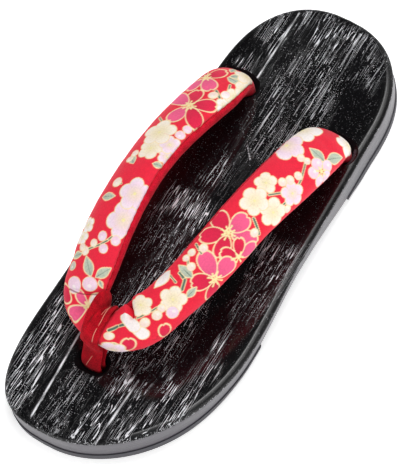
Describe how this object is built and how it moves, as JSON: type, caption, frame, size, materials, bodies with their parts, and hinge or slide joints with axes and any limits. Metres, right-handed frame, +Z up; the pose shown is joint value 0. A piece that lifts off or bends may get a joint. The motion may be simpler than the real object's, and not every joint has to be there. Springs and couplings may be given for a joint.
{
  "type": "geta sandal",
  "caption": "Low wooden thong sandal with a lacquered dished footbed, rubber pads under heel and forefoot and a padded printed V strap held by a velvet toe loop.",
  "frame": {"origin": "middle of the object's bounding box in plan, on the floor that it stands on", "axes": "+Y towards the toe, +Z up, +X towards the wearer's big toe (medial side of a left sandal)"},
  "size_m": [0.0986, 0.2455, 0.0619],
  "materials": {
    "lacquer": "gloss",
    "rubber": "matte",
    "cotton": "printed",
    "velvet": "matte"
  },
  "bodies": {
    "root": {"footbed": "lacquer", "heel_rubber": "rubber", "forefoot_rubber": "rubber", "strap_cover": "cotton", "strap_lining": "velvet", "toe_loop": "velvet"}
  },
  "joints": []
}
